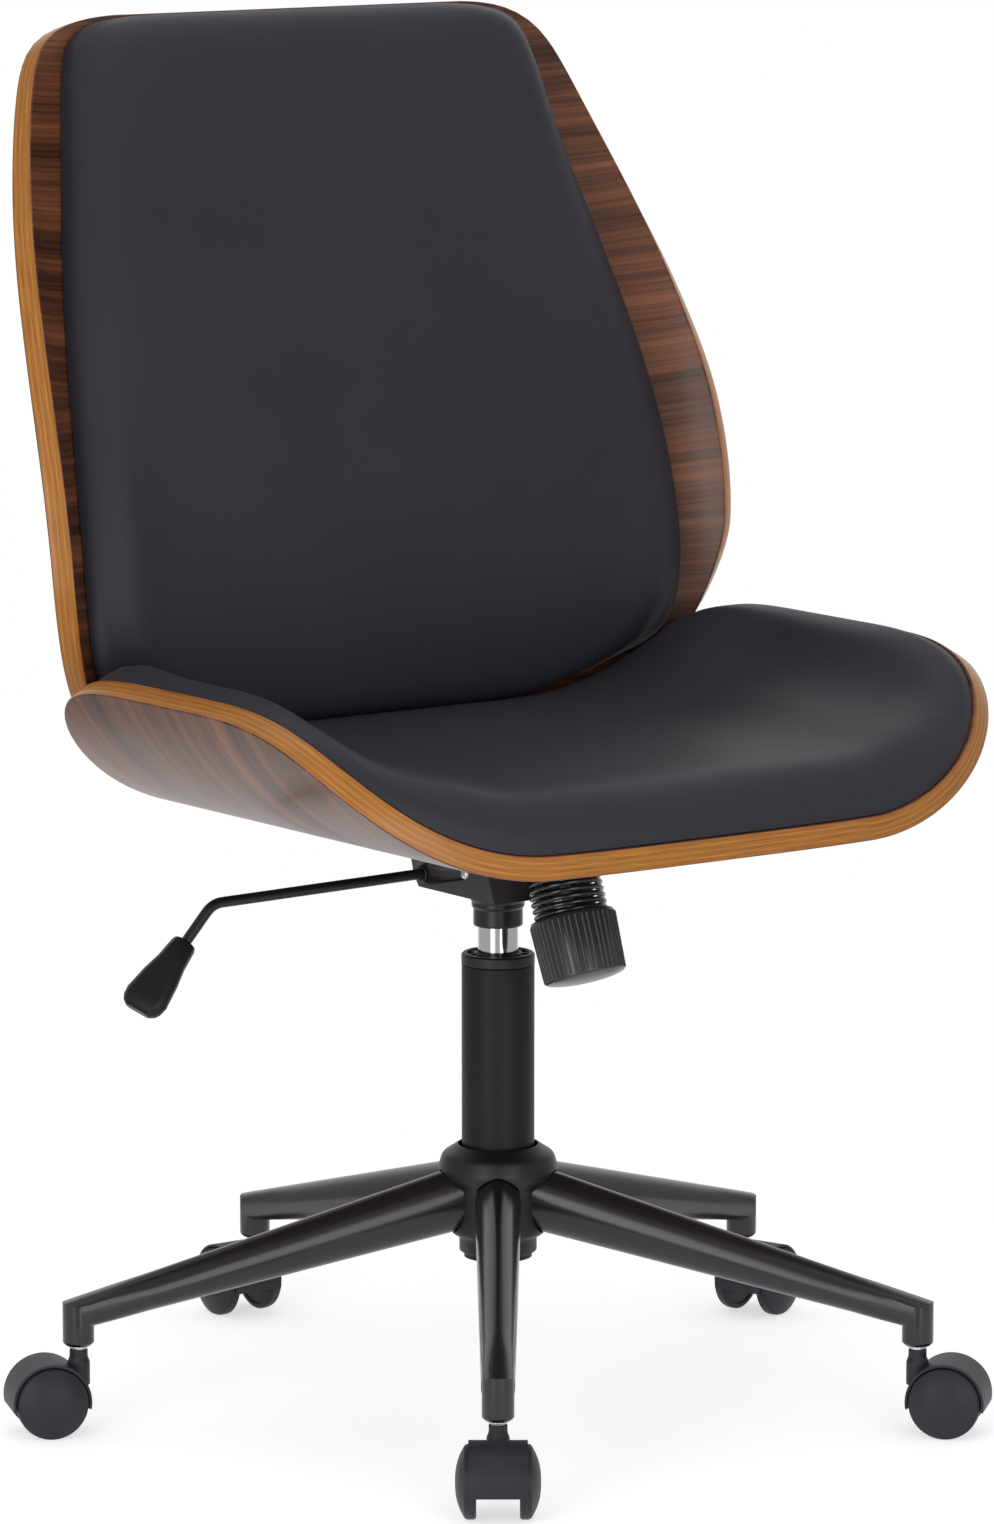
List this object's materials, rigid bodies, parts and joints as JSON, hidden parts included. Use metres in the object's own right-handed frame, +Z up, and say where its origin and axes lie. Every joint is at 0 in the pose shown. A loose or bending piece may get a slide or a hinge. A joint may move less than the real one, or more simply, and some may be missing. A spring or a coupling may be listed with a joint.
{
  "type": "office chair",
  "caption": "Swivel office chair: bent walnut ply shells with black pads on a tilting gas-lift column and a star foot with twin-wheel castors.",
  "frame": {"origin": "on the floor, under the middle of the chair's outer box", "axes": "+Z up, -Y the way the sitter faces, +X to the sitter's left; the height lever is at -X"},
  "size_m": [0.6725, 0.6396, 0.9465],
  "materials": {
    "walnut_ply": "satin lacquered walnut veneer, honey ply edges",
    "black_upholstery": "soft satin, fine grain",
    "gloss_black_metal": "gloss black",
    "satin_black_metal": "satin black",
    "bright_chrome": "polished",
    "zinc_steel": "zinc plated",
    "black_plastic": "matt moulded",
    "castor_plastic": "matt moulded",
    "brass": "machined"
  },
  "bodies": {
    "base": {"hub": "satin_black_metal", "leg_1": "gloss_black_metal", "leg_2": "gloss_black_metal", "leg_3": "gloss_black_metal", "leg_4": "gloss_black_metal", "leg_5": "gloss_black_metal", "column_tube": "satin_black_metal", "guide_bush": "black_plastic", "thrust_bearing": "zinc_steel"},
    "column_rod": {"piston_rod": "bright_chrome", "rod_clip": "zinc_steel"},
    "lift": {"gas_cylinder": "bright_chrome", "column_socket": "satin_black_metal", "tilt_housing": "satin_black_metal", "pivot_pin": "zinc_steel", "tension_spring": "gloss_black_metal"},
    "seat": {"seat_plate": "satin_black_metal", "seat_shell": "walnut_ply", "seat_cushion": "black_upholstery", "back_shell": "walnut_ply", "back_cushion": "black_upholstery", "back_bracket": "satin_black_metal", "tension_bolt": "zinc_steel", "seat_bolt_1": "zinc_steel", "seat_bolt_2": "zinc_steel", "seat_bolt_3": "zinc_steel", "seat_bolt_4": "zinc_steel", "bracket_screw_1": "zinc_steel", "bracket_screw_2": "zinc_steel"},
    "button": {"release_button": "brass"},
    "lever_pivot": {"lever_bush": "black_plastic"},
    "lever": {"lever_rod": "satin_black_metal", "lever_handle": "black_plastic"},
    "cup": {"spring_cup": "zinc_steel"},
    "knob": {"tension_knob": "black_plastic"},
    "castor_1": {"castor_stem_1": "zinc_steel", "castor_hood_1": "castor_plastic", "castor_axle_1": "zinc_steel"},
    "wheel_1a": {"wheel_1a": "castor_plastic"},
    "wheel_1b": {"wheel_1b": "castor_plastic"},
    "castor_2": {"castor_stem_2": "zinc_steel", "castor_hood_2": "castor_plastic", "castor_axle_2": "zinc_steel"},
    "wheel_2a": {"wheel_2a": "castor_plastic"},
    "wheel_2b": {"wheel_2b": "castor_plastic"},
    "castor_3": {"castor_stem_3": "zinc_steel", "castor_hood_3": "castor_plastic", "castor_axle_3": "zinc_steel"},
    "wheel_3a": {"wheel_3a": "castor_plastic"},
    "wheel_3b": {"wheel_3b": "castor_plastic"},
    "castor_4": {"castor_stem_4": "zinc_steel", "castor_hood_4": "castor_plastic", "castor_axle_4": "zinc_steel"},
    "wheel_4a": {"wheel_4a": "castor_plastic"},
    "wheel_4b": {"wheel_4b": "castor_plastic"},
    "castor_5": {"castor_stem_5": "zinc_steel", "castor_hood_5": "castor_plastic", "castor_axle_5": "zinc_steel"},
    "wheel_5a": {"wheel_5a": "castor_plastic"},
    "wheel_5b": {"wheel_5b": "castor_plastic"}
  },
  "joints": [
    {"name": "column_swivel", "type": "hinge", "parent": "base", "child": "column_rod", "pos_m": [0, -0.02749, 0.101], "axis": [0, 0, 1], "continuous": true},
    {"name": "column_lift", "type": "slide", "parent": "column_rod", "child": "lift", "axis": [0, 0, 1], "range_m": [-0.012, 0.085]},
    {"name": "seat_tilt", "type": "hinge", "parent": "lift", "child": "seat", "pos_m": [0, -0.04719, 0.375], "axis": [-1, 0, 0], "range_deg": [0, 8], "stiffness_Nm_per_rad": 160, "springref_deg": -17.19, "deforming": ["tension_spring"]},
    {"name": "lever_swing", "type": "hinge", "parent": "lift", "child": "lever_pivot", "pos_m": [-0.0395, 0.00251, 0.368], "axis": [0, 1, 0], "range_deg": [0, 4], "stiffness_Nm_per_rad": 2, "springref_deg": -5.73},
    {"name": "lever_pull", "type": "slide", "parent": "lever_pivot", "child": "lever", "axis": [-1, 0, 0], "range_m": [0, 0.012]},
    {"name": "button_press", "type": "slide", "parent": "lift", "child": "button", "axis": [0, 0, 1], "range_m": [-0.0028, 0]},
    {"name": "knob_travel", "type": "slide", "parent": "seat", "child": "cup", "axis": [0, 0.3681, 0.9298], "range_m": [-0.0046, 0.0031]},
    {"name": "knob_turn", "type": "hinge", "parent": "cup", "child": "knob", "pos_m": [0, -0.11357, 0.34751], "axis": [0, 0.3681, 0.9298], "range_deg": [-1080, 720]},
    {"name": "castor_swivel_1", "type": "hinge", "parent": "base", "child": "castor_1", "pos_m": [0.17575, -0.26938, 0.062], "axis": [0, 0, 1], "continuous": true},
    {"name": "wheel_spin_1a", "type": "hinge", "parent": "castor_1", "child": "wheel_1a", "pos_m": [0.18999, -0.28549, 0.0245], "axis": [0.749, 0.6626, 0], "continuous": true},
    {"name": "wheel_spin_1b", "type": "hinge", "parent": "castor_1", "child": "wheel_1b", "pos_m": [0.18999, -0.28549, 0.0245], "axis": [0.749, 0.6626, 0], "continuous": true},
    {"name": "castor_swivel_2", "type": "hinge", "parent": "base", "child": "castor_2", "pos_m": [0.28437, 0.06491, 0.062], "axis": [0, 0, 1], "continuous": true},
    {"name": "wheel_spin_2a", "type": "hinge", "parent": "castor_2", "child": "wheel_2a", "pos_m": [0.30481, 0.07155, 0.0245], "axis": [-0.309, 0.9511, 0], "continuous": true},
    {"name": "wheel_spin_2b", "type": "hinge", "parent": "castor_2", "child": "wheel_2b", "pos_m": [0.30481, 0.07155, 0.0245], "axis": [-0.309, 0.9511, 0], "continuous": true},
    {"name": "castor_swivel_3", "type": "hinge", "parent": "base", "child": "castor_3", "pos_m": [0, 0.27151, 0.062], "axis": [0, 0, 1], "continuous": true},
    {"name": "wheel_spin_3a", "type": "hinge", "parent": "castor_3", "child": "wheel_3a", "pos_m": [0, 0.29301, 0.0245], "axis": [-1, 0, 0], "continuous": true},
    {"name": "wheel_spin_3b", "type": "hinge", "parent": "castor_3", "child": "wheel_3b", "pos_m": [0, 0.29301, 0.0245], "axis": [-1, 0, 0], "continuous": true},
    {"name": "castor_swivel_4", "type": "hinge", "parent": "base", "child": "castor_4", "pos_m": [-0.28437, 0.06491, 0.062], "axis": [0, 0, 1], "continuous": true},
    {"name": "wheel_spin_4a", "type": "hinge", "parent": "castor_4", "child": "wheel_4a", "pos_m": [-0.30431, 0.07293, 0.0245], "axis": [-0.373, -0.9278, 0], "continuous": true},
    {"name": "wheel_spin_4b", "type": "hinge", "parent": "castor_4", "child": "wheel_4b", "pos_m": [-0.30431, 0.07293, 0.0245], "axis": [-0.373, -0.9278, 0], "continuous": true},
    {"name": "castor_swivel_5", "type": "hinge", "parent": "base", "child": "castor_5", "pos_m": [-0.17575, -0.26938, 0.062], "axis": [0, 0, 1], "continuous": true},
    {"name": "wheel_spin_5a", "type": "hinge", "parent": "castor_5", "child": "wheel_5a", "pos_m": [-0.18838, -0.28678, 0.0245], "axis": [0.809, -0.5878, 0], "continuous": true},
    {"name": "wheel_spin_5b", "type": "hinge", "parent": "castor_5", "child": "wheel_5b", "pos_m": [-0.18838, -0.28678, 0.0245], "axis": [0.809, -0.5878, 0], "continuous": true}
  ],
  "couplings": [
    {"joint": "button_press", "follows": "lever_swing", "m_per_rad": -0.0395},
    {"joint": "knob_travel", "follows": "knob_turn", "m_per_rad": 0.00023873}
  ]
}
